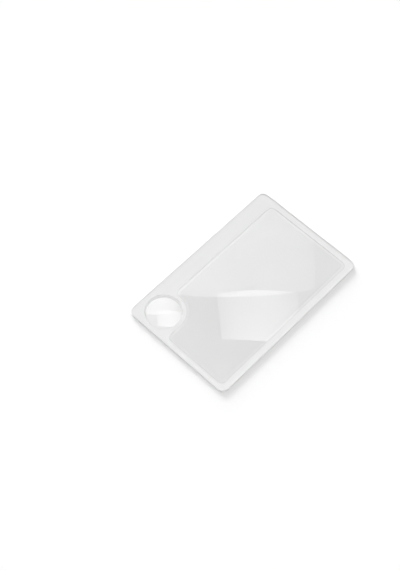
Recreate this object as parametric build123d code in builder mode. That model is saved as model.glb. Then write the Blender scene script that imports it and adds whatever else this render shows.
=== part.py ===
from build123d import *
import math
import os

# Wallet-card magnifier, injection moulded in one piece from clear acrylic.
# A Fresnel lens fills most of the card, and a small, stronger spot lens sits in one corner.
# The card lies on its flat face: X runs across it, Y along it and Z up, in millimetres,
# with the origin at the middle of the flat face.

# Card
CARD_WIDTH = 54.0
CARD_LENGTH = 83.5
CARD_THICKNESS = 1.5
CARD_CORNER_RADIUS = 3.0
RIM_FILLET = 0.3

# Plain borders between the edges of the card and the Fresnel lens
GRIP_BORDER = 8.0
SIDE_BORDER = 2.9
TOP_BORDER = 3.3
BOTTOM_BORDER = 2.3

# Optics
REFRACTIVE_INDEX = 1.49
NEAR_POINT = 250.0

# Fresnel lens: its groove crests stay under the face of the card, safe from scratches
FRESNEL_MAGNIFICATION = 2.5
FRESNEL_CORNER_RADIUS = 2.4
FRESNEL_RECESS = 0.12
GROOVE_PITCH = 1.1
RISER_DRAFT = 5.0

# Spot lens: a smooth dome in a round pocket, which a plain ring parts from the Fresnel lens
SPOT_DIAMETER = 14.7
SPOT_MAGNIFICATION = 6.0
SPOT_RECESS = 0.05
POCKET_GAP = 0.4
POCKET_DRAFT = 5.0
SPOT_RING = 1.95

# A fillet takes at most this share of a short straight edge
FILLET_SHARE = 0.8

# The cutting tools reach this far above the face of the card
TOOL_REACH = 1.0
tool_top = CARD_THICKNESS + TOOL_REACH

# Edges of the Fresnel lens
field_left = GRIP_BORDER - CARD_WIDTH / 2
field_right = CARD_WIDTH / 2 - SIDE_BORDER
field_top = CARD_LENGTH / 2 - TOP_BORDER
field_bottom = BOTTOM_BORDER - CARD_LENGTH / 2
field_width = field_right - field_left
field_length = field_top - field_bottom
field_centre = ((field_left + field_right) / 2, (field_bottom + field_top) / 2)

# The spot lens keeps the narrow borders of the Fresnel lens
spot_radius = SPOT_DIAMETER / 2
pocket_radius = spot_radius + POCKET_GAP
spot_centre = (
    SIDE_BORDER + pocket_radius - CARD_WIDTH / 2,
    BOTTOM_BORDER + pocket_radius - CARD_LENGTH / 2,
)

# The Fresnel lens leaves out one corner and runs round the spot lens at an even distance
notch_radius = pocket_radius + SPOT_RING
notch_right = spot_centre[0] + notch_radius
notch_top = spot_centre[1] + notch_radius
notch_straight = min(spot_centre[0] - field_left, spot_centre[1] - field_bottom)
notch_corner_radius = min(FRESNEL_CORNER_RADIUS, FILLET_SHARE * notch_straight)


def focal_length(magnification):
    """Focal length of a magnifier held close to the eye."""
    return NEAR_POINT / (magnification - 1)


def facet_slope(radius, focus):
    """Slope of a groove facet that sends parallel light at this radius to the focus."""
    bend = math.atan(radius / focus)
    return math.sin(bend) / (REFRACTIVE_INDEX - math.cos(bend))


def upright_plane(centre):
    """Plane for a section through a lens: its x is the radius and its y the height."""
    return Plane(origin=(*centre, 0), x_dir=(1, 0, 0), z_dir=(0, -1, 0))


def nearest_corner(sketch, x, y):
    """Corner of a sketch that lies nearest to a point."""
    return sketch.vertices().sort_by_distance((x, y, 0))[0]


# Fresnel grooves: rings of one pitch with level crests. In each ring a facet falls outwards
# at its own optical slope, and a steep riser climbs back to the next crest.
crest_height = CARD_THICKNESS - FRESNEL_RECESS
fresnel_focus = focal_length(FRESNEL_MAGNIFICATION)
groove_count = math.ceil(math.hypot(field_width, field_length) / 2 / GROOVE_PITCH)
groove_profile = [(0, crest_height)]
for groove in range(groove_count):
    slope = facet_slope((groove + 0.5) * GROOVE_PITCH, fresnel_focus)
    facet_width = GROOVE_PITCH / (1 + slope * math.tan(math.radians(RISER_DRAFT)))
    valley = (groove * GROOVE_PITCH + facet_width, crest_height - facet_width * slope)
    crest = ((groove + 1) * GROOVE_PITCH, crest_height)
    groove_profile += [valley, crest]
groove_profile += [(groove_count * GROOVE_PITCH, tool_top), (0, tool_top)]

with BuildPart() as groove_tool:
    with BuildSketch(upright_plane(field_centre)):
        with BuildLine():
            Polyline(*groove_profile, close=True)
        make_face()
    revolve(axis=Axis((*field_centre, 0), (0, 0, 1)))
    with BuildSketch() as field_outline:
        with Locations(field_centre):
            Rectangle(field_width, field_length)
        with Locations((field_left, field_bottom)):
            Rectangle(
                notch_right - field_left,
                notch_top - field_bottom,
                align=Align.MIN,
                mode=Mode.SUBTRACT,
            )
        fillet(nearest_corner(field_outline, notch_right, notch_top), radius=notch_radius)
        for x, y in ((field_left, notch_top), (notch_right, field_bottom)):
            fillet(nearest_corner(field_outline, x, y), radius=notch_corner_radius)
        for x, y in ((field_left, field_top), (field_right, field_top), (field_right, field_bottom)):
            fillet(nearest_corner(field_outline, x, y), radius=FRESNEL_CORNER_RADIUS)
    extrude(amount=tool_top, mode=Mode.INTERSECT)

# Spot lens pocket: the dome, a narrow floor round it and a drafted wall up to the face
dome_radius = (REFRACTIVE_INDEX - 1) * focal_length(SPOT_MAGNIFICATION)
dome_height = dome_radius - math.sqrt(dome_radius**2 - spot_radius**2)
dome_top = CARD_THICKNESS - SPOT_RECESS
pocket_floor = dome_top - dome_height
wall_run = (tool_top - pocket_floor) * math.tan(math.radians(POCKET_DRAFT))

with BuildPart() as spot_tool:
    with BuildSketch(upright_plane(spot_centre)):
        with BuildLine():
            RadiusArc((0, dome_top), (spot_radius, pocket_floor), dome_radius)
            Polyline(
                (spot_radius, pocket_floor),
                (pocket_radius, pocket_floor),
                (pocket_radius + wall_run, tool_top),
                (0, tool_top),
                (0, dome_top),
            )
        make_face()
    revolve(axis=Axis((*spot_centre, 0), (0, 0, 1)))

# Card: a plate with rounded corners and a rounded upper rim, and the two lenses cut into it
with BuildPart() as lens_card:
    with BuildSketch():
        RectangleRounded(CARD_WIDTH, CARD_LENGTH, CARD_CORNER_RADIUS)
    extrude(amount=CARD_THICKNESS)
    fillet(lens_card.edges().group_by(Axis.Z)[-1], radius=RIM_FILLET)
    add(groove_tool.part, mode=Mode.SUBTRACT)
    add(spot_tool.part, mode=Mode.SUBTRACT)

lens_card.part.label = "lens_card"

os.makedirs("parts", exist_ok=True)
export_step(lens_card.part, "parts/lens_card.step")
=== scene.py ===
import math

import bmesh
import bpy
from mathutils import Euler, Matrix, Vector


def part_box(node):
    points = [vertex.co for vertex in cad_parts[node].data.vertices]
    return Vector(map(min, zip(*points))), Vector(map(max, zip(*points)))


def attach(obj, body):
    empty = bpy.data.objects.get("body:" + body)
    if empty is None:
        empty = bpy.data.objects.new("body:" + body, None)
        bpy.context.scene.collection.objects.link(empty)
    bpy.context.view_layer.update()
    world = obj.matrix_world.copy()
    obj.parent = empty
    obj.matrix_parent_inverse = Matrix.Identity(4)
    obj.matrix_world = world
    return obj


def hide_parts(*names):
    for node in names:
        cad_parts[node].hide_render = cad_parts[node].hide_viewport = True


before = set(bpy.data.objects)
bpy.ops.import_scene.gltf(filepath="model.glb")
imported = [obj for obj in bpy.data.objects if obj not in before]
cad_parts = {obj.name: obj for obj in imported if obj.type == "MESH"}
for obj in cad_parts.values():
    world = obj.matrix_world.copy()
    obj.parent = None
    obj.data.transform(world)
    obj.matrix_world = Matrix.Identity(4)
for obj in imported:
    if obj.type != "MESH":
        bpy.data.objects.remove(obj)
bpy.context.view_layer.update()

bl_info = {
    "name": "Card magnifier",
    "version": (1, 0, 0),
    "blender": (4, 5, 0),
    "location": "3D View > Sidebar > Magnifier",
    "description": "Models a clear magnifier card with a Fresnel lens and lights it in a pale studio",
    "category": "Add Mesh",
}

CARD_NODE = "lens_card"
ROOT_BODY = "root"
MM = 0.001

card_low, card_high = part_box(CARD_NODE)

# Modelling: lengths are in millimetres and angles in degrees
HAIR = 0.01
MERGE_DISTANCE = 0.0001
TOOL_REACH = 1.0
RISER_DRAFT = 5.0
POCKET_LEAN = 30.0
SMOOTH_ANGLE = 25.0
CORNER_SHARE = 0.8
SMOOTH_RINGS = 5
RIM_STEPS = 6
ARC_STEPS = 16
NOTCH_STEPS = 64
SPOT_STEPS = 128
GROOVE_STEPS = 192
Z_AXIS = (0.0, 0.0, 1.0)

# Shading: lengths are in metres
WALL_LEVEL = 0.6
BORDER_SKIN = 0.03 * MM
# Width of the painted shade lines along the step round the field and where the grooves start
LINE_WIDTH = 0.3 * MM
# How far inside the field the painted shade line where the grooves start lies
GROOVES_START = 1.4 * MM
# Fade of the painted shade of the back at the field's edge
FIELD_BLEND = 1.5 * MM
NOTCH_BLEND = 3.7 * MM
# Reach at which the painted shade of the back is lightest
OUTER_REACH = 46.0 * MM
RIPPLE_SCALE = 260.0
RIPPLE_DETAIL = 2.0

# Stage: lengths are in metres and angles in degrees
CAMERA_PLACE = (0.15772, -0.20357, 0.45416)
CAMERA_TURN = (29.608, -0.938, 43.545)
CAMERA_LENS = 78.06
CAMERA_SENSOR = 36.0
CAMERA_NEAR = 0.01
FLOOR_SIZE = 8.0
FLOOR_GAP = 0.02 * MM
SKY_RISE = 1.6
SOFT_BOX_PLACE = (-0.113, 0.542, 2.0)
SOFT_BOX_TURN = (-16.77, 14.36, 42.3)
SOFT_BOX_SIZE = (1.756, 1.29)
SUN_BEARING = 65.0
KEY_HEIGHT = 13.0
KEY_SPREAD = 42.0
FILL_HEIGHT = 90.0
FILL_SPREAD = 150.0


# ---------------------------------------------------------------- settings


def length_property(name, description, millimetres):
    """A length, written in millimetres and kept in metres."""
    return bpy.props.FloatProperty(
        name=name, description=description, default=millimetres * MM, unit="LENGTH", precision=5
    )


def factor_property(name, description, default, most=1.0):
    """A plain number from nought to the most it may be."""
    return bpy.props.FloatProperty(
        name=name, description=description, default=default, min=0.0, max=most
    )


def grey_property(name, description, grey):
    """A colour without alpha, grey to begin with."""
    return bpy.props.FloatVectorProperty(
        name=name,
        description=description,
        default=(grey, grey, grey),
        size=3,
        subtype="COLOR",
        min=0.0,
        max=1.0,
    )


class CardSizes(bpy.types.PropertyGroup):
    """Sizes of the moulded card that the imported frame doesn't give."""

    card_corner: length_property("Card corner", "Radius of the card's corners", 3.0)
    rim_fillet: length_property("Rim fillet", "Rounding of the upper rim", 0.3)
    grip_border: length_property("Grip border", "Plain border on the thumb's side", 8.0)
    side_border: length_property("Side border", "Plain border on the other side", 2.9)
    top_border: length_property("Top border", "Plain border away from the spot lens", 3.3)
    bottom_border: length_property("Bottom border", "Plain border next to the spot lens", 2.3)
    field_corner: length_property("Field corner", "Corner radius of the grooved field", 2.4)
    field_recess: length_property("Field recess", "Depth of the groove crests under the face", 0.12)
    groove_pitch: length_property("Groove pitch", "Distance from one groove to the next", 0.3)
    focal_length: length_property("Focal length", "Focal length of the Fresnel lens", 166.7)
    spot_diameter: length_property("Spot diameter", "Diameter of the spot lens", 14.7)
    spot_focal_length: length_property("Spot focal length", "Focal length of the spot lens", 50.0)
    spot_recess: length_property("Spot recess", "Depth of the spot lens under the face", 0.05)
    pocket_gap: length_property("Pocket gap", "Distance from the spot lens to the plain ring", 0.4)
    spot_ring: length_property("Spot ring", "Plain ring from the pocket to the grooves", 1.95)


class CardFinish(bpy.types.PropertyGroup):
    """Finish of the clear acrylic, and the tints that paint shade on it."""

    clear_tint: grey_property("Clear tint", "Tint of the plain plastic", 0.96)
    # The satin border's darker grey is partly painted shade, standing in for the card's shadow on the
    # floor beneath
    border_tint_and_shade: grey_property("Border tint", "Tint of the satin border", 0.85)
    groove_tint: grey_property("Groove tint", "Tint of the grooved face", 0.95)
    # Painted shade: the back under the grooves, darkest at their middle and lighter towards their
    # outer reach
    painted_back_shade: grey_property("Back tint", "Tint of the back under the lens's middle", 0.705)
    painted_outer_shade: grey_property("Outer tint", "Tint of the back under the outer grooves", 0.87)
    # Painted shade: a dark line along the step round the field
    painted_step_shade: grey_property("Step tint", "Tint along the step round the field", 0.7)
    # Painted shade: a fainter dark line where the grooves start
    painted_start_shade: grey_property("Start tint", "Tint along the line where the grooves start", 0.88)
    wall_colour: grey_property("Wall colour", "Colour of the hazy upright walls", 0.9)
    refractive_index: factor_property("Refractive index", "Bending of light in the acrylic", 1.49, 3.0)
    polish: factor_property("Polish", "Roughness of the polished faces", 0.015)
    border_satin: factor_property("Border satin", "Roughness of the border's upper face", 0.45)
    wall_matte: factor_property("Wall matte", "Roughness of the upright walls", 0.5)
    wall_haze: factor_property("Wall haze", "Share of haze in the upright walls", 0.75)
    riser_matte: factor_property("Riser matte", "Roughness of the risers of the grooves", 1.0)
    pocket_haze: factor_property("Pocket haze", "Share of haze in the pocket's leaning wall", 0.25)


class StudioSettings(bpy.types.PropertyGroup):
    """Floor, light and camera."""

    floor_colour: grey_property("Floor colour", "Colour of the pale floor", 0.95)
    floor_lift: factor_property("Floor lift", "Plain white of the floor seen through glass", 0.815)
    floor_shade: factor_property("Floor shade", "Share of light and shade seen through glass", 0.15)
    dome_light: factor_property("Dome light", "Level of the light from all round", 0.37, 10.0)
    dome_sheen: factor_property("Dome sheen", "Level that gloss and glass show overhead", 0.5, 10.0)
    low_sheen: factor_property("Low sheen", "Level that gloss and glass show low down", 1.2, 10.0)
    soft_box_fade: factor_property("Soft box fade", "Loss of light at the soft box's sides", 0.6)
    soft_box_lean: factor_property("Soft box lean", "Loss of light across the soft box", 0.25)
    soft_box_light: factor_property("Soft box light", "Radiance of the soft box's middle", 3.3, 100.0)
    key_light: factor_property("Key light", "Strength of the low key light", 3.7, 100.0)
    fill_light: factor_property("Fill light", "Strength of the broad overhead fill", 1.33, 100.0)


# ---------------------------------------------------------------- modelling tools


def millimetres(*lengths):
    """Lengths in metres, turned into the millimetres that the pieces are modelled in."""
    return [length / MM for length in lengths]


def deselect_all():
    """Leave nothing selected, in object mode."""
    if bpy.context.object and bpy.context.object.mode != "OBJECT":
        bpy.ops.object.mode_set(mode="OBJECT")
    bpy.ops.object.select_all(action="DESELECT")


def add_sheet(name, low, high, height):
    """A flat rectangle between two corners at a height, left in edit mode."""
    deselect_all()
    middle = ((low[0] + high[0]) / 2, (low[1] + high[1]) / 2, height)
    bpy.ops.mesh.primitive_plane_add(size=1, location=middle)
    sheet = bpy.context.object
    sheet.name = name
    sheet.scale = (high[0] - low[0], high[1] - low[1], 1)
    bpy.ops.object.transform_apply(location=True, rotation=True, scale=True)
    bpy.ops.object.mode_set(mode="EDIT")
    return sheet


def pick(piece, kind, test):
    """Select, in edit mode, the verts, edges or faces whose place passes the test."""
    bpy.ops.mesh.select_mode(type=kind)
    bpy.ops.mesh.select_all(action="DESELECT")
    mesh = bmesh.from_edit_mesh(piece.data)
    for item in {"VERT": mesh.verts, "EDGE": mesh.edges, "FACE": mesh.faces}[kind]:
        points = [item.co] if kind == "VERT" else [corner.co for corner in item.verts]
        if all(test(point) for point in points):
            item.select_set(True)
    mesh.select_flush_mode()
    bmesh.update_edit_mesh(piece.data)


def near(x, y):
    """A test for points within a hair of a place seen from above."""
    return lambda point: math.hypot(point.x - x, point.y - y) < HAIR


def round_corners(piece, radius, corners, steps=ARC_STEPS):
    """Round the corners of a flat outline that lie at these places."""
    for x, y in corners:
        pick(piece, "VERT", near(x, y))
        bpy.ops.mesh.bevel(offset=radius, segments=steps, affect="VERTICES", clamp_overlap=False)


def raise_sheet(height):
    """Extrude a flat sheet straight up into a block."""
    bpy.ops.mesh.select_mode(type="FACE")
    bpy.ops.mesh.select_all(action="SELECT")
    bpy.ops.mesh.extrude_region_move(TRANSFORM_OT_translate={"value": (0, 0, height)})
    bpy.ops.mesh.select_all(action="SELECT")
    bpy.ops.mesh.normals_make_consistent(inside=False)


def spin_profile(name, centre, profile, steps):
    """A solid of revolution: a chain of points (radius, height) spun about an upright axis."""
    sheet = add_sheet(name, (-1, -1), (1, 1), 0)
    bpy.ops.mesh.select_mode(type="VERT")
    bpy.ops.mesh.select_all(action="SELECT")
    bpy.ops.mesh.merge(type="CENTER")
    start = Vector((centre[0] + profile[0][0], centre[1], profile[0][1]))
    bpy.ops.transform.translate(value=start)
    for here, there in zip(profile, profile[1:]):
        move = (there[0] - here[0], 0, there[1] - here[1])
        bpy.ops.mesh.extrude_vertices_move(TRANSFORM_OT_translate={"value": move})
    bpy.ops.mesh.select_all(action="SELECT")
    bpy.ops.mesh.spin(
        steps=steps, angle=2 * math.pi, center=(centre[0], centre[1], 0), axis=Z_AXIS
    )
    bpy.ops.mesh.select_all(action="SELECT")
    bpy.ops.mesh.remove_doubles(threshold=MERGE_DISTANCE)
    bpy.ops.mesh.normals_make_consistent(inside=False)
    bpy.ops.object.mode_set(mode="OBJECT")
    return sheet


def combine(piece, tool, operation):
    """Cut a piece with a tool, or keep what they share, and use the tool up."""
    deselect_all()
    piece.select_set(True)
    bpy.context.view_layer.objects.active = piece
    bpy.ops.object.modifier_add(type="BOOLEAN")
    boolean = piece.modifiers[-1]
    boolean.operation = operation
    boolean.solver = "MANIFOLD"
    boolean.object = tool
    bpy.ops.object.modifier_apply(modifier=boolean.name)
    bpy.data.objects.remove(tool)


# ---------------------------------------------------------------- the card


def facet_slope(radius, focal_length, refractive_index):
    """Slope of a facet that bends parallel light at this radius to the focus."""
    bend = math.atan(radius / focal_length)
    return math.sin(bend) / (refractive_index - math.cos(bend))


def groove_profile(crest, pitch, count, focal_length, refractive_index, top):
    """Saw-tooth section of the grooves: a smooth middle, then facets and steep risers."""
    riser_slope = math.tan(math.radians(RISER_DRAFT))
    profile = [(0.0, crest)]
    for ring in range(count):
        slope = facet_slope((ring + 0.5) * pitch, focal_length, refractive_index)
        if ring < SMOOTH_RINGS:
            profile.append(((ring + 1) * pitch, profile[-1][1] - pitch * slope))
            continue
        if ring == SMOOTH_RINGS:
            inner, height = profile.pop()
            profile += [(inner - (crest - height) * riser_slope, height), (inner, crest)]
        width = pitch / (1 + slope * riser_slope)
        profile += [(ring * pitch + width, crest - width * slope), ((ring + 1) * pitch, crest)]
    return profile + [(count * pitch, top), (0.0, top)]


def spot_profile(radius, dome_top, curve, top):
    """Section of the spot lens and its pocket: the dome and a wall that leans outwards."""
    arc = math.asin(radius / curve)
    angles = [arc * step / ARC_STEPS for step in range(ARC_STEPS + 1)]
    profile = [
        (curve * math.sin(angle), dome_top - curve * (1 - math.cos(angle))) for angle in angles
    ]
    lean = math.tan(math.radians(POCKET_LEAN))
    return profile + [(radius + (top - profile[-1][1]) * lean, top), (0.0, top)]


def layout(sizes):
    """Corners of the grooved field, middle of the spot lens and radius of its pocket."""
    low = (card_low.x + sizes.grip_border, card_low.y + sizes.bottom_border)
    high = (card_high.x - sizes.side_border, card_high.y - sizes.top_border)
    pocket = sizes.spot_diameter / 2 + sizes.pocket_gap
    spot = (card_low.x + sizes.side_border + pocket, card_low.y + sizes.bottom_border + pocket)
    return low, high, spot, pocket


def model_plate(sizes):
    """The plain plate with its rounded corners and rim, in millimetres."""
    low, high = millimetres(*card_low), millimetres(*card_high)
    corner, fillet = millimetres(sizes.card_corner, sizes.rim_fillet)
    plate = add_sheet("moulded_card", low, high, low[2])
    corners = [(x, y) for x in (low[0], high[0]) for y in (low[1], high[1])]
    round_corners(plate, corner, corners)
    raise_sheet(high[2] - low[2])
    pick(plate, "EDGE", lambda point: point.z > high[2] - fillet)
    bpy.ops.mesh.bevel(offset=fillet, segments=RIM_STEPS, affect="EDGES")
    bpy.ops.object.mode_set(mode="OBJECT")
    return plate


def model_field_block(sizes, bottom_height, top_height):
    """A block with the outline of the grooved field, which runs round the spot lens."""
    low, high, spot, pocket = layout(sizes)
    left, bottom, right, top = millimetres(*low, *high)
    spot_x, spot_y = millimetres(*spot)
    notch, corner = millimetres(pocket + sizes.spot_ring, sizes.field_corner)
    notch_right, notch_top = spot_x + notch, spot_y + notch

    block = add_sheet("field_block", (left, bottom), (right, top), bottom_height)
    for place, way in (((notch_right, 0, 0), (1, 0, 0)), ((0, notch_top, 0), (0, 1, 0))):
        bpy.ops.mesh.select_all(action="SELECT")
        bpy.ops.mesh.bisect(plane_co=place, plane_no=way)
    pick(block, "FACE", lambda point: point.x < notch_right + HAIR and point.y < notch_top + HAIR)
    bpy.ops.mesh.delete(type="FACE")
    bpy.ops.mesh.select_all(action="SELECT")
    bpy.ops.mesh.dissolve_limited()

    notch_corner = min(corner, CORNER_SHARE * min(spot_x - left, spot_y - bottom))
    round_corners(block, notch, [(notch_right, notch_top)], NOTCH_STEPS)
    round_corners(block, notch_corner, [(left, notch_top), (notch_right, bottom)])
    round_corners(block, corner, [(left, top), (right, top), (right, bottom)])
    raise_sheet(top_height - bottom_height)
    bpy.ops.object.mode_set(mode="OBJECT")
    return block


def model_grooves(sizes, refractive_index, face, top):
    """A tool that cuts the grooves: their section spun, within the outline of the field."""
    low, high, _, _ = layout(sizes)
    left, bottom, right, upper = millimetres(*low, *high)
    recess, pitch, focal_length = millimetres(
        sizes.field_recess, sizes.groove_pitch, sizes.focal_length
    )
    count = math.ceil(math.hypot(right - left, upper - bottom) / 2 / pitch)
    profile = groove_profile(face - recess, pitch, count, focal_length, refractive_index, top)
    block = model_field_block(sizes, card_low.z / MM, top)
    centre = ((left + right) / 2, (bottom + upper) / 2)
    grooves = spin_profile("groove_tool", centre, profile, GROOVE_STEPS)
    combine(grooves, block, "INTERSECT")
    return grooves


def model_spot(sizes, refractive_index, face, top):
    """A tool that cuts the pocket and leaves the dome of the spot lens in it."""
    _, _, spot, _ = layout(sizes)
    diameter, recess, focal_length = millimetres(
        sizes.spot_diameter, sizes.spot_recess, sizes.spot_focal_length
    )
    curve = (refractive_index - 1) * focal_length
    profile = spot_profile(diameter / 2, face - recess, curve, top)
    return spin_profile("spot_tool", millimetres(*spot), profile, SPOT_STEPS)


def model_card(sizes, refractive_index):
    """The whole moulding: the plate with the grooves and the spot lens cut into it."""
    face = card_high.z / MM
    top = face + TOOL_REACH
    card = model_plate(sizes)
    combine(card, model_grooves(sizes, refractive_index, face, top), "DIFFERENCE")
    combine(card, model_spot(sizes, refractive_index, face, top), "DIFFERENCE")
    return card


def finish_mesh(piece):
    """Bring a piece to metres, at the origin, and smooth its curved faces."""
    deselect_all()
    piece.select_set(True)
    bpy.context.view_layer.objects.active = piece
    piece.scale = (MM, MM, MM)
    bpy.ops.object.transform_apply(location=True, rotation=True, scale=True)
    bpy.ops.object.shade_smooth_by_angle(angle=math.radians(SMOOTH_ANGLE))
    bpy.ops.object.modifier_add(type="WEIGHTED_NORMAL")
    piece.modifiers[-1].keep_sharp = True
    bpy.ops.object.modifier_apply(modifier=piece.modifiers[-1].name)


# ---------------------------------------------------------------- shading


class Shade:
    """A socket in a node tree. Arithmetic on it adds the Math nodes that work it out."""

    def __init__(self, tree, socket=None):
        self.tree = tree
        self.socket = socket

    def node(self, kind, settings=None, inputs=None, output=0):
        """Add a node: its settings first, then the values or links of its sockets."""
        made = self.tree.nodes.new(kind)
        for name, value in (settings or {}).items():
            setattr(made, name, value)
        for key, value in (inputs or {}).items():
            if isinstance(value, Shade):
                self.tree.links.new(value.socket, made.inputs[key])
            else:
                made.inputs[key].default_value = value
        return Shade(self.tree, made.outputs[output] if made.outputs else None)

    def other(self, output):
        """Another output of the same node."""
        return Shade(self.tree, self.socket.node.outputs[output])

    def maths(self, operation, *values):
        """A Math node on this value and others."""
        inputs = dict(enumerate((self, *values)))
        return self.node("ShaderNodeMath", {"operation": operation}, inputs)

    def __add__(self, value):
        return self.maths("ADD", value)

    __radd__ = __add__

    def __sub__(self, value):
        return self.maths("SUBTRACT", value)

    def __rsub__(self, value):
        return self.maths("MULTIPLY", -1.0).maths("ADD", value)

    def __mul__(self, value):
        return self.maths("MULTIPLY", value)

    __rmul__ = __mul__

    def above(self, level):
        """One where the value is over the level, nought elsewhere."""
        return self.maths("GREATER_THAN", level)

    def blend(self, first, second):
        """A colour between two, with this value as the share of the second."""
        sides = [side if isinstance(side, Shade) else (*side, 1.0) for side in (first, second)]
        return self.node(
            "ShaderNodeMix", {"data_type": "RGBA"}, {0: self, 6: sides[0], 7: sides[1]}, output=2
        )


def new_tree(owner):
    """An empty node tree for a material or a world."""
    owner.use_nodes = True
    owner.node_tree.nodes.clear()
    return Shade(owner.node_tree)


def rounded_box(x, y, low, high, radius):
    """Distance outside a rounded rectangle seen from above, negative inside it."""
    middle = ((low[0] + high[0]) / 2, (low[1] + high[1]) / 2)
    across = (x - middle[0]).maths("ABSOLUTE") - ((high[0] - low[0]) / 2 - radius)
    along = (y - middle[1]).maths("ABSOLUTE") - ((high[1] - low[1]) / 2 - radius)
    past_x = across.maths("MAXIMUM", 0.0)
    past_y = along.maths("MAXIMUM", 0.0)
    outside = (past_x * past_x + past_y * past_y).maths("SQRT")
    return outside + across.maths("MAXIMUM", along).maths("MINIMUM", 0.0) - radius


def band(distance, width):
    """One along a line, falling to nought at this width on each side of it."""
    return (1.0 - distance.maths("ABSOLUTE") * (1.0 / width)).maths("MAXIMUM", 0.0)


def field_distance(x, y, sizes):
    """Distance outside the grooved field seen from above, negative inside it."""
    low, high, spot, pocket = layout(sizes)
    past_x = (x - spot[0]).maths("MAXIMUM", 0.0)
    past_y = (y - spot[1]).maths("MAXIMUM", 0.0)
    from_spot = (past_x * past_x + past_y * past_y).maths("SQRT")
    notch = pocket + sizes.spot_ring - from_spot
    box = rounded_box(x, y, low, high, sizes.field_corner)
    return box.maths("SMOOTH_MAX", notch, NOTCH_BLEND)


# Mask of the painted shade on the back: nought where it is darkest
def outer_share(x, y, sizes):
    """Nought at the middle of the grooves, rising to one at their outer reach."""
    low, high, _, _ = layout(sizes)
    across = x - (low[0] + high[0]) / 2
    along = y - (low[1] + high[1]) / 2
    reach = (across * across + along * along).maths("SQRT")
    return (reach * (1.0 / OUTER_REACH)).maths("MINIMUM", 1.0)


def acrylic(sizes, finish):
    """Clear acrylic: satin border, polished lenses, matte risers and hazy upright walls, with painted
    shade in its tints.
    """
    material = bpy.data.materials.new("Clear acrylic")
    shade = new_tree(material)
    place = shade.node("ShaderNodeTexCoord", output="Object")
    x = shade.node("ShaderNodeSeparateXYZ", inputs={0: place})
    y, z = x.other(1), x.other(2)
    facing = shade.node("ShaderNodeNewGeometry", output="True Normal")
    tilt = shade.node("ShaderNodeSeparateXYZ", inputs={0: facing}).other(2).maths("ABSOLUTE")

    # Where each part of the card is: one on it, nought off it
    field = field_distance(x, y, sizes)
    upper = z.above((card_low.z + card_high.z) / 2)
    border = z.above(card_high.z - BORDER_SKIN)
    grooved = upper * (1.0 - field.above(0.0))
    # Painted shade: a dark line along the step round the field
    step = upper * band(field, LINE_WIDTH)
    # Painted shade: a fainter dark line where the grooves start
    painted_start_line = upper * band(field + GROOVES_START, LINE_WIDTH)
    # Where the painted shade of the back under the grooves lies
    under_field = (field * (-1.0 / FIELD_BLEND)).maths("MINIMUM", 1.0).maths("MAXIMUM", 0.0)
    outline = rounded_box(x, y, card_low, card_high, sizes.card_corner)
    wall = tilt.maths("LESS_THAN", WALL_LEVEL)
    outer_wall = wall * outline.above(-2 * sizes.rim_fillet)
    riser = wall * grooved
    pocket_wall = wall - outer_wall - riser

    # The border's grey is partly painted shade of the card's shadow on the floor beneath
    upper_colour = border.blend(finish.clear_tint, finish.border_tint_and_shade)
    upper_colour = grooved.blend(upper_colour, finish.groove_tint)
    # Painted shade along the step round the field
    upper_colour = step.blend(upper_colour, finish.painted_step_shade)
    # Painted shade where the grooves start
    upper_colour = painted_start_line.blend(upper_colour, finish.painted_start_shade)
    # Painted shade on the back under the grooves: darkest at their middle, lighter towards their outer
    # reach
    back = outer_share(x, y, sizes).blend(finish.painted_back_shade, finish.painted_outer_shade)
    lower_colour = under_field.blend(finish.clear_tint, back)
    ripple = shade.node(
        "ShaderNodeTexNoise",
        inputs={"Vector": place, "Scale": RIPPLE_SCALE, "Detail": RIPPLE_DETAIL},
    )
    polish = ripple * finish.polish
    matte = outer_wall * finish.wall_matte + riser * finish.riser_matte
    clear = shade.node(
        "ShaderNodeBsdfPrincipled",
        inputs={
            "Base Color": upper.blend(lower_colour, upper_colour),
            "Roughness": polish + border * finish.border_satin + matte,
            "IOR": finish.refractive_index,
            "Transmission Weight": 1.0,
        },
    )
    hazy = shade.node(
        "ShaderNodeBsdfPrincipled",
        inputs={
            "Base Color": (*finish.wall_colour, 1.0),
            "Roughness": finish.wall_matte,
            "IOR": finish.refractive_index,
        },
    )
    haze = outer_wall * finish.wall_haze + pocket_wall * finish.pocket_haze
    mixed = shade.node("ShaderNodeMixShader", inputs={0: haze, 1: clear, 2: hazy})
    shade.node("ShaderNodeOutputMaterial", inputs={"Surface": mixed})
    return material


# ---------------------------------------------------------------- stage


def add_camera():
    """The camera, above and in front of the card's spot-lens corner."""
    data = bpy.data.cameras.new("Camera")
    data.lens = CAMERA_LENS
    data.sensor_width = CAMERA_SENSOR
    data.clip_start = CAMERA_NEAR
    camera = bpy.data.objects.new("Camera", data)
    camera.location = CAMERA_PLACE
    camera.rotation_euler = Euler([math.radians(angle) for angle in CAMERA_TURN])
    bpy.context.scene.collection.objects.link(camera)
    bpy.context.scene.camera = camera


def add_floor(settings):
    """A wide pale floor that stays white to the camera but keeps the card's shadow."""
    deselect_all()
    bpy.ops.mesh.primitive_plane_add(size=FLOOR_SIZE, location=(0, 0, card_low.z - FLOOR_GAP))
    floor = bpy.context.object
    floor.name = "Floor"
    material = bpy.data.materials.new("Pale floor")
    shade = new_tree(material)
    through_glass = shade.node("ShaderNodeLightPath", output="Is Transmission Ray")
    shaded = settings.floor_colour * settings.floor_shade
    bsdf = shade.node(
        "ShaderNodeBsdfPrincipled",
        inputs={
            "Base Color": through_glass.blend(settings.floor_colour, shaded),
            "Roughness": 1.0,
            "Specular IOR Level": 0.0,
            "Emission Color": through_glass * settings.floor_lift,
            "Emission Strength": 1.0,
        },
    )
    shade.node("ShaderNodeOutputMaterial", inputs={"Surface": bsdf})
    floor.data.materials.append(material)


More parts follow.
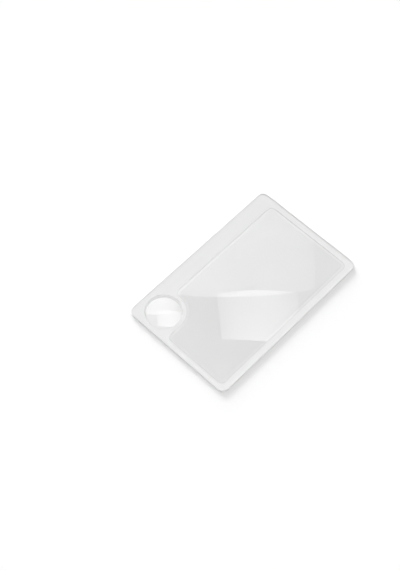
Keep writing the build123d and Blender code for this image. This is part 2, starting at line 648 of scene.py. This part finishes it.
def add_dome(settings):
    """Even light from all round, white where the camera looks past the floor."""
    world = bpy.data.worlds.new("Dome")
    bpy.context.scene.world = world
    shade = new_tree(world)
    seen = shade.node("ShaderNodeLightPath", output="Is Camera Ray")
    gleam = seen.other("Is Glossy Ray").maths("MAXIMUM", seen.other("Is Transmission Ray"))
    way = shade.node("ShaderNodeTexCoord", output="Generated")
    height = shade.node("ShaderNodeSeparateXYZ", inputs={0: way}).other(2)
    sky = (height * SKY_RISE).maths("MINIMUM", 1.0)
    sheen = sky * (settings.dome_sheen - settings.low_sheen) + settings.low_sheen
    level = seen.maths("MAXIMUM", gleam * (sheen - settings.dome_light) + settings.dome_light)
    background = shade.node("ShaderNodeBackground", inputs={"Color": level, "Strength": 1.0})
    shade.node("ShaderNodeOutputWorld", inputs={"Surface": background})


def add_soft_box(settings):
    """A large soft box overhead, which the grooves and the spot lens show as bright panes."""
    data = bpy.data.lights.new("Soft box", "AREA")
    data.shape = "RECTANGLE"
    data.size, data.size_y = SOFT_BOX_SIZE
    data.energy = settings.soft_box_light * math.pi * data.size * data.size_y
    box = bpy.data.objects.new("Soft box", data)
    box.location = SOFT_BOX_PLACE
    box.rotation_euler = Euler([math.radians(angle) for angle in SOFT_BOX_TURN])
    box.visible_camera = False
    box.visible_diffuse = False
    shade = new_tree(data)
    place = shade.node("ShaderNodeNewGeometry", output="Parametric")
    across = shade.node("ShaderNodeSeparateXYZ", inputs={0: place})
    lean = 1.0 - (across.other(1) - 0.5) * settings.soft_box_lean
    side = (across - 0.5) * 2.0
    fade = 1.0 - side * side * settings.soft_box_fade
    emission = shade.node("ShaderNodeEmission", inputs={"Color": fade * lean, "Strength": 1.0})
    shade.node("ShaderNodeOutputLight", inputs={"Surface": emission})
    bpy.context.scene.collection.objects.link(box)


def add_sun(name, strength, spread, bearing, height):
    """A distant light that shapes shadows and shows in neither gloss nor glass."""
    data = bpy.data.lights.new(name, "SUN")
    data.energy = strength
    data.angle = math.radians(spread)
    sun = bpy.data.objects.new(name, data)
    sun.rotation_euler = Euler((math.radians(90 - height), 0, math.radians(180 + bearing)))
    sun.visible_glossy = False
    sun.visible_transmission = False
    bpy.context.scene.collection.objects.link(sun)


# ---------------------------------------------------------------- add-on


class MAGNIFIER_OT_add_card(bpy.types.Operator):
    """Model the clear card with its grooves and spot lens"""

    bl_idname = "magnifier.add_card"
    bl_label = "Add card"
    bl_options = {"REGISTER", "UNDO"}

    def execute(self, context):
        sizes = context.scene.magnifier_sizes
        finish = context.scene.magnifier_finish
        card = model_card(sizes, finish.refractive_index)
        finish_mesh(card)
        card.data.materials.clear()
        card.data.materials.append(acrylic(sizes, finish))
        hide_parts(CARD_NODE)
        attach(card, ROOT_BODY)
        return {"FINISHED"}


class MAGNIFIER_OT_add_studio(bpy.types.Operator):
    """Add the floor, the lights and the camera"""

    bl_idname = "magnifier.add_studio"
    bl_label = "Add studio"
    bl_options = {"REGISTER", "UNDO"}

    def execute(self, context):
        settings = context.scene.magnifier_studio
        add_floor(settings)
        add_dome(settings)
        add_soft_box(settings)
        add_sun("Key", settings.key_light, KEY_SPREAD, SUN_BEARING, KEY_HEIGHT)
        add_sun("Fill", settings.fill_light, FILL_SPREAD, SUN_BEARING, FILL_HEIGHT)
        add_camera()
        context.scene.view_settings.view_transform = "Standard"
        return {"FINISHED"}


class MAGNIFIER_PT_sidebar(bpy.types.Panel):
    """Panel of the card magnifier"""

    bl_idname = "MAGNIFIER_PT_sidebar"
    bl_label = "Card magnifier"
    bl_space_type = "VIEW_3D"
    bl_region_type = "UI"
    bl_category = "Magnifier"

    def draw(self, context):
        scene = context.scene
        for operator, groups in (
            ("magnifier.add_card", (scene.magnifier_sizes, scene.magnifier_finish)),
            ("magnifier.add_studio", (scene.magnifier_studio,)),
        ):
            box = self.layout.box()
            for group in groups:
                for name in group.__annotations__:
                    box.prop(group, name)
            box.operator(operator)


CLASSES = (
    CardSizes,
    CardFinish,
    StudioSettings,
    MAGNIFIER_OT_add_card,
    MAGNIFIER_OT_add_studio,
    MAGNIFIER_PT_sidebar,
)


def register():
    """Register the classes and give the scene its settings."""
    for kind in CLASSES:
        bpy.utils.register_class(kind)
    bpy.types.Scene.magnifier_sizes = bpy.props.PointerProperty(type=CardSizes)
    bpy.types.Scene.magnifier_finish = bpy.props.PointerProperty(type=CardFinish)
    bpy.types.Scene.magnifier_studio = bpy.props.PointerProperty(type=StudioSettings)


def unregister():
    """Take the settings and the classes away again."""
    del bpy.types.Scene.magnifier_studio
    del bpy.types.Scene.magnifier_finish
    del bpy.types.Scene.magnifier_sizes
    for kind in reversed(CLASSES):
        bpy.utils.unregister_class(kind)


def main():
    """Build everything in order."""
    register()
    bpy.ops.magnifier.add_card()
    bpy.ops.magnifier.add_studio()


if __name__ == "__main__":
    main()
